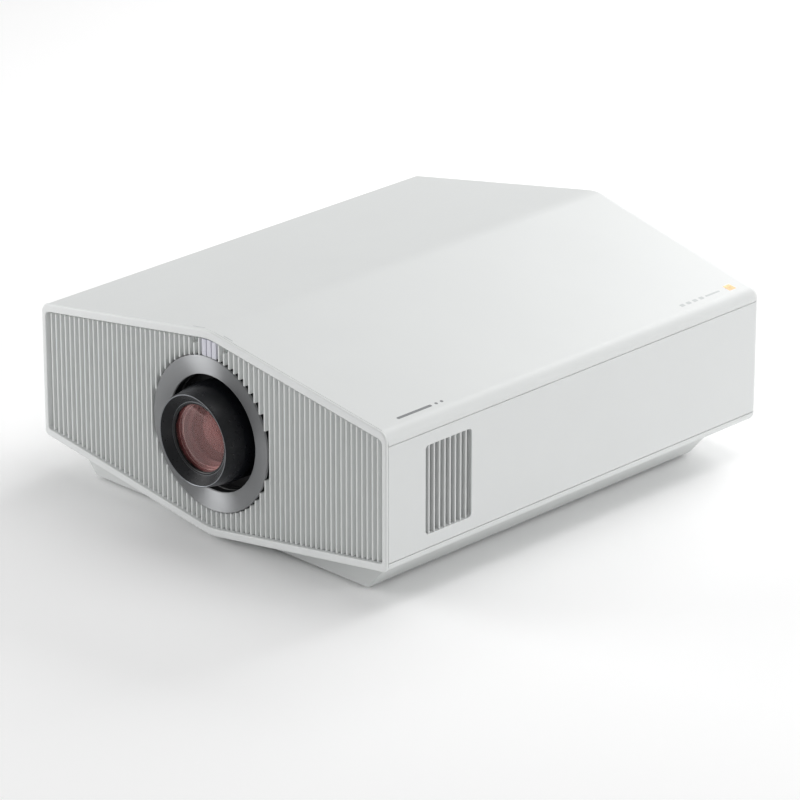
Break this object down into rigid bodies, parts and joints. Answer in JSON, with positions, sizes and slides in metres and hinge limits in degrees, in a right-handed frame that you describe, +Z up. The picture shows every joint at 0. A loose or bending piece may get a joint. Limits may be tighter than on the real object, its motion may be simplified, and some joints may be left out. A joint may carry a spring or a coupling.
{
  "type": "home projector",
  "caption": "Home cinema projector: low hexagonal case with a finned front, central lens in a spun ring, side vents, slant-sided plinth and powered lens shift, focus and zoom.",
  "frame": {"origin": "on the floor under the middle of the whole object's box", "axes": "+X to the right seen from the front, +Y from the lens to the rear, +Z up"},
  "size_m": [0.46, 0.5536, 0.2093],
  "materials": {
    "case_white": "fine matt moulded texture",
    "case_pearl": "satin moulded plastic",
    "button_grey": "satin",
    "window_smoke": "translucent, smooth",
    "light_guide": "clear moulded plastic",
    "ring_metal": "spun, satin",
    "dark_plastic": "matt black",
    "retainer_metal": "black anodised with a bright edge",
    "coated_glass": "polished, with a rosy coating",
    "engine_glass": "polished",
    "lens_metal": "black anodised",
    "gear_plastic": "natural acetal",
    "steel": "ground",
    "motor_metal": "drawn can",
    "frame_metal": "cast and machined",
    "sink_aluminium": "extruded",
    "board_green": "solder mask",
    "socket_metal": "nickel plated",
    "filter_foam": "open-cell foam",
    "foot_rubber": "matt",
    "foot_plastic": "satin"
  },
  "bodies": {
    "case": {"top_cover": "case_white", "side_panel_left": "case_white", "side_panel_right": "case_white", "vent_louvres": "case_pearl", "rear_panel": "case_white", "bottom_case": "case_white", "plinth": "case_pearl", "front_bezel": "case_white", "front_grille": "case_pearl", "ir_window": "window_smoke", "indicator_lights": "light_guide", "lens_trim_ring": "ring_metal", "recess_tube": "dark_plastic", "screws": "steel", "shift_frame": "frame_metal", "vertical_rods": "steel", "vertical_motor": "motor_metal", "optical_block": "dark_plastic", "engine_optics": "engine_glass", "imaging_panels": "sink_aluminium", "laser_module": "frame_metal", "laser_heat_sink": "sink_aluminium", "main_board": "board_green", "power_board": "board_green", "fan_frames": "dark_plastic", "chassis": "frame_metal", "terminal_plate": "case_pearl", "input_sockets": "socket_metal", "mains_inlet": "dark_plastic", "rear_feet": "foot_rubber"},
    "shift_carriage": {"vertical_carriage": "frame_metal", "horizontal_rods": "steel", "horizontal_motor": "motor_metal"},
    "lens": {"lens_hood": "dark_plastic", "lens_skirt": "dark_plastic", "front_retainer": "retainer_metal", "front_element": "coated_glass", "lens_tube": "lens_metal", "lens_motors": "motor_metal", "horizontal_carriage": "frame_metal"},
    "vertical_lead": {"vertical_screw": "steel"},
    "horizontal_lead": {"horizontal_screw": "steel"},
    "focus_drive_ring": {"focus_ring": "lens_metal"},
    "focus_drive_pinion": {"focus_pinion": "gear_plastic"},
    "focus_cell": {"focus_group": "lens_metal"},
    "zoom_drive_ring": {"zoom_ring": "lens_metal"},
    "zoom_drive_pinion": {"zoom_pinion": "gear_plastic"},
    "zoom_cell": {"zoom_group": "lens_metal"},
    "colour_wheel": {"phosphor_wheel": "sink_aluminium"},
    "fan_left": {"impeller_left": "dark_plastic"},
    "fan_right": {"impeller_right": "dark_plastic"},
    "button_power": {"power_button": "button_grey"},
    "button_input": {"input_button": "button_grey"},
    "button_menu": {"menu_button": "button_grey"},
    "foot_left": {"foot_pad_left": "foot_rubber"},
    "foot_right": {"foot_pad_right": "foot_rubber"},
    "foot_screw_left": {"foot_knob_left": "foot_plastic"},
    "foot_screw_right": {"foot_knob_right": "foot_plastic"},
    "filter_unit": {"filter_cover": "case_white", "air_filter": "filter_foam"}
  },
  "joints": [
    {"name": "lens_shift_vertical", "type": "slide", "parent": "case", "child": "shift_carriage", "axis": [0, 0, 1], "range_m": [-0.0064, 0.0064]},
    {"name": "lens_shift_horizontal", "type": "slide", "parent": "shift_carriage", "child": "lens", "axis": [1, 0, 0], "range_m": [-0.0049, 0.0049]},
    {"name": "vertical_screw_turn", "type": "hinge", "parent": "case", "child": "vertical_lead", "pos_m": [-0.04, -0.07982, 0.1], "axis": [0, 0, 1], "range_deg": [-1200, 1200]},
    {"name": "horizontal_screw_turn", "type": "hinge", "parent": "shift_carriage", "child": "horizontal_lead", "pos_m": [0, -0.09482, 0.1345], "axis": [1, 0, 0], "range_deg": [-900, 900]},
    {"name": "focus_ring_turn", "type": "hinge", "parent": "lens", "child": "focus_drive_ring", "pos_m": [0, -0.18882, 0.1065], "axis": [0, 1, 0], "range_deg": [-60, 60]},
    {"name": "focus_pinion_turn", "type": "hinge", "parent": "lens", "child": "focus_drive_pinion", "pos_m": [0.04596, -0.18882, 0.15246], "axis": [0, 1, 0], "range_deg": [-340, 340]},
    {"name": "focus_travel", "type": "slide", "parent": "lens", "child": "focus_cell", "axis": [0, 1, 0], "range_m": [-0.005, 0.005]},
    {"name": "zoom_ring_turn", "type": "hinge", "parent": "lens", "child": "zoom_drive_ring", "pos_m": [0, -0.14282, 0.1065], "axis": [0, 1, 0], "range_deg": [-50, 50]},
    {"name": "zoom_pinion_turn", "type": "hinge", "parent": "lens", "child": "zoom_drive_pinion", "pos_m": [-0.04596, -0.14282, 0.15246], "axis": [0, 1, 0], "range_deg": [-280, 280]},
    {"name": "zoom_travel", "type": "slide", "parent": "lens", "child": "zoom_cell", "axis": [0, 1, 0], "range_m": [-0.01001, 0.01001]},
    {"name": "phosphor_wheel_spin", "type": "hinge", "parent": "case", "child": "colour_wheel", "pos_m": [-0.152, -0.05382, 0.1], "axis": [0, 1, 0], "continuous": true},
    {"name": "fan_left_spin", "type": "hinge", "parent": "case", "child": "fan_left", "pos_m": [-0.15, -0.20782, 0.106], "axis": [0, 1, 0], "continuous": true},
    {"name": "fan_right_spin", "type": "hinge", "parent": "case", "child": "fan_right", "pos_m": [0.15, -0.20782, 0.106], "axis": [0, 1, 0], "continuous": true},
    {"name": "power_button_press", "type": "slide", "parent": "case", "child": "button_power", "axis": [1, 0, 0], "range_m": [0, 0.0008], "stiffness_N_per_m": 700, "springref_m": -0.0004},
    {"name": "input_button_press", "type": "slide", "parent": "case", "child": "button_input", "axis": [1, 0, 0], "range_m": [0, 0.0008], "stiffness_N_per_m": 700, "springref_m": -0.0004},
    {"name": "menu_button_press", "type": "slide", "parent": "case", "child": "button_menu", "axis": [1, 0, 0], "range_m": [0, 0.0008], "stiffness_N_per_m": 700, "springref_m": -0.0004},
    {"name": "foot_left_height", "type": "slide", "parent": "case", "child": "foot_left", "axis": [0, 0, -1], "range_m": [0, 0.008]},
    {"name": "foot_left_turn", "type": "hinge", "parent": "foot_left", "child": "foot_screw_left", "pos_m": [-0.15, -0.19382, 0.006], "axis": [0, 0, -1], "range_deg": [0, 2304]},
    {"name": "foot_right_height", "type": "slide", "parent": "case", "child": "foot_right", "axis": [0, 0, -1], "range_m": [0, 0.008]},
    {"name": "foot_right_turn", "type": "hinge", "parent": "foot_right", "child": "foot_screw_right", "pos_m": [0.15, -0.19382, 0.006], "axis": [0, 0, -1], "range_deg": [0, 2304]},
    {"name": "filter_pull", "type": "slide", "parent": "case", "child": "filter_unit", "axis": [0, 1, 0], "range_m": [0, 0.04]}
  ],
  "couplings": [
    {"joint": "vertical_screw_turn", "follows": "lens_shift_vertical", "rad_per_m": 3141.6},
    {"joint": "horizontal_screw_turn", "follows": "lens_shift_horizontal", "rad_per_m": 3141.6},
    {"joint": "focus_pinion_turn", "follows": "focus_ring_turn", "ratio": -5.5},
    {"joint": "focus_travel", "follows": "focus_ring_turn", "m_per_rad": 0.0047747},
    {"joint": "zoom_pinion_turn", "follows": "zoom_ring_turn", "ratio": -5.5},
    {"joint": "zoom_travel", "follows": "zoom_ring_turn", "m_per_rad": 0.011459},
    {"joint": "foot_left_height", "follows": "foot_left_turn", "m_per_rad": 0.00019894},
    {"joint": "foot_right_height", "follows": "foot_right_turn", "m_per_rad": 0.00019894}
  ]
}
